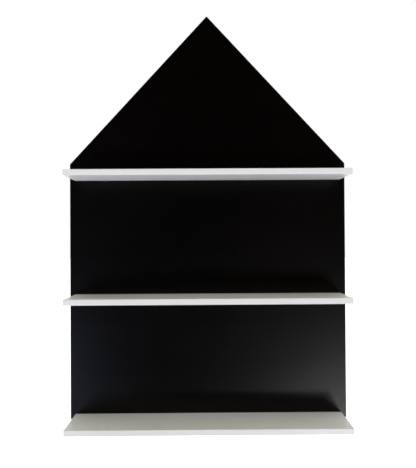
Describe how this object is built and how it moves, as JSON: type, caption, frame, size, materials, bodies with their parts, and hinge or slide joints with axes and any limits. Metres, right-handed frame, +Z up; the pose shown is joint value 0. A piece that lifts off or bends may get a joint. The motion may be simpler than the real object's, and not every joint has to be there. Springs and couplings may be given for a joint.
{
  "type": "house shaped bookcase",
  "caption": "Wall-hung bookcase for a child's room: a flat house shaped back board in black lacquer with white shelves screwed on from behind.",
  "frame": {"origin": "middle of the footprint of the whole object, on the plane of its base", "axes": "+Z up, the front (the shelves' front edges) faces -Y, the wall is on the +Y side, +X is to the right seen from the front"},
  "size_m": [0.8, 0.166, 1.17],
  "materials": {
    "black_lacquer": "satin black lacquer on medium density fibreboard",
    "white_lacquer": "satin white lacquer on medium density fibreboard",
    "zinc_steel": "bright zinc plated steel",
    "yellow_zinc_steel": "yellow passivated zinc plated steel",
    "beech": "raw fluted beech"
  },
  "bodies": {
    "root": {"back_board": "black_lacquer", "shelf_top": "white_lacquer", "shelf_middle": "white_lacquer", "shelf_bottom": "white_lacquer", "shelf_screws_top": "zinc_steel", "shelf_screws_middle": "zinc_steel", "shelf_screws_bottom": "zinc_steel", "shelf_dowels_top": "beech", "shelf_dowels_middle": "beech", "shelf_dowels_bottom": "beech", "hanger_left": "zinc_steel", "hanger_right": "zinc_steel", "hanger_screws_left": "yellow_zinc_steel", "hanger_screws_right": "yellow_zinc_steel"}
  },
  "joints": []
}
